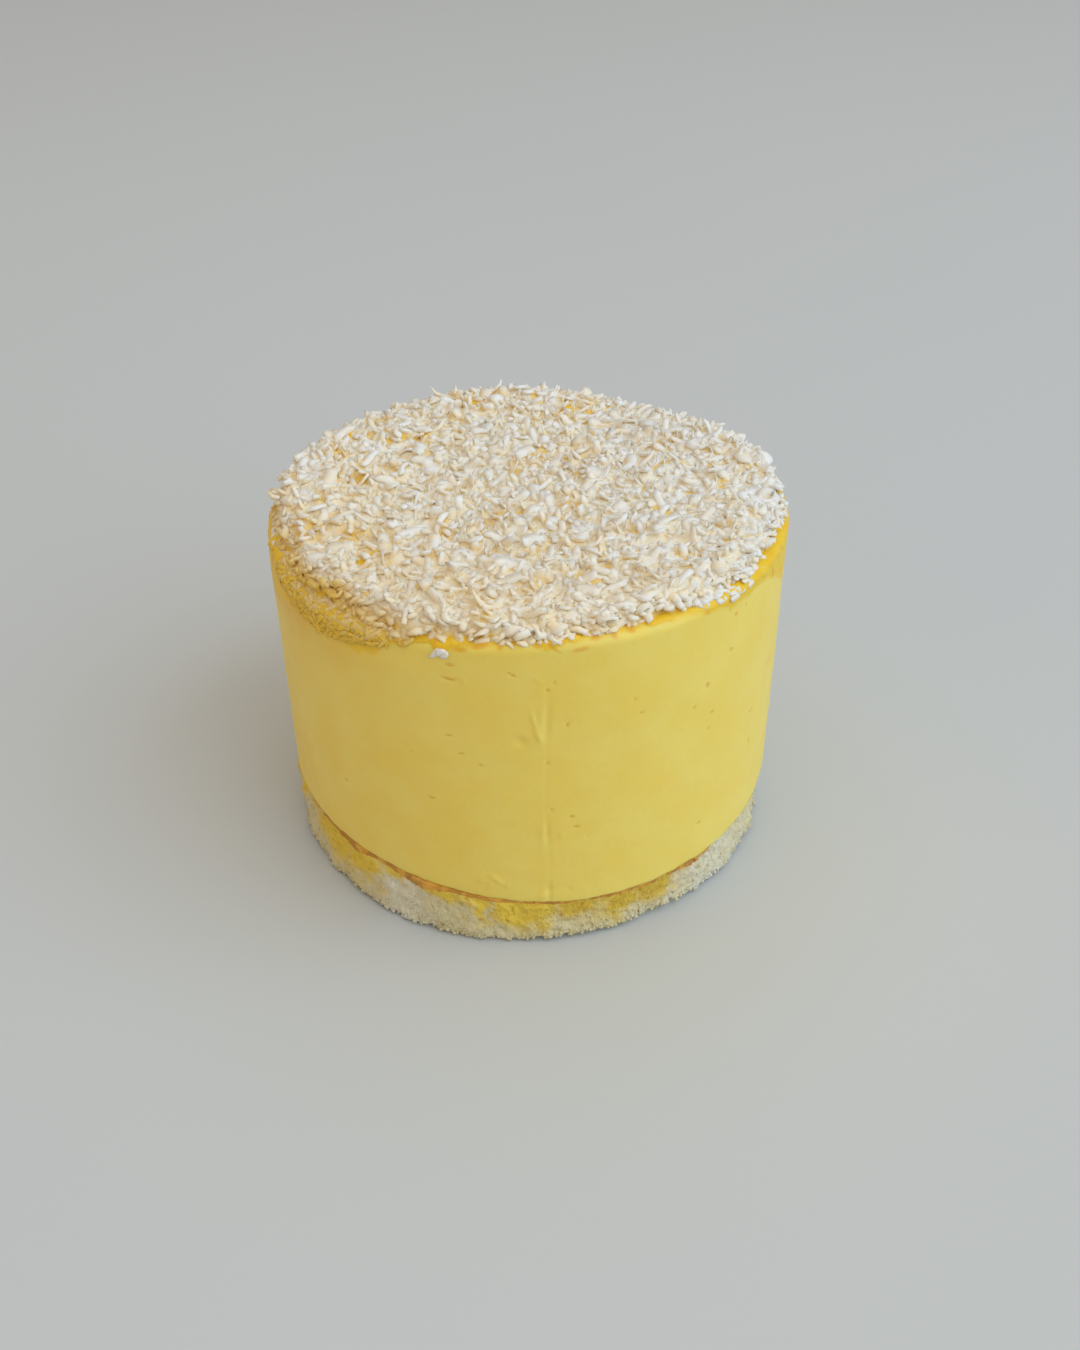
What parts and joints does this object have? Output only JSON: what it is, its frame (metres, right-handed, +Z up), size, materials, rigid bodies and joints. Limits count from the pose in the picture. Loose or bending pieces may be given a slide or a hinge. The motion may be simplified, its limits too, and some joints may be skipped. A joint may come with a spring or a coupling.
{
  "type": "mousse cake",
  "caption": "Round single-portion mousse cake: a smooth yellow mousse cylinder on a thin layer of sponge, its top strewn with desiccated coconut.",
  "frame": {"origin": "on the surface that the cake stands on, on the axis of the ring that shaped it", "axes": "+Z up along the ring's axis; -Y is the front that the picture shows, +X is its right"},
  "size_m": [0.0703, 0.0702, 0.0512],
  "materials": {
    "mousse": "smooth satin mousse, pale yellow",
    "sponge": "open crumb, off-white with yellow stains and a browned top skin",
    "coconut": "white desiccated coconut flakes",
    "glaze": "thin wet golden glaze under the coconut and at the rim"
  },
  "bodies": {
    "root": {"mousse": "mousse", "sponge": "sponge"}
  },
  "joints": []
}
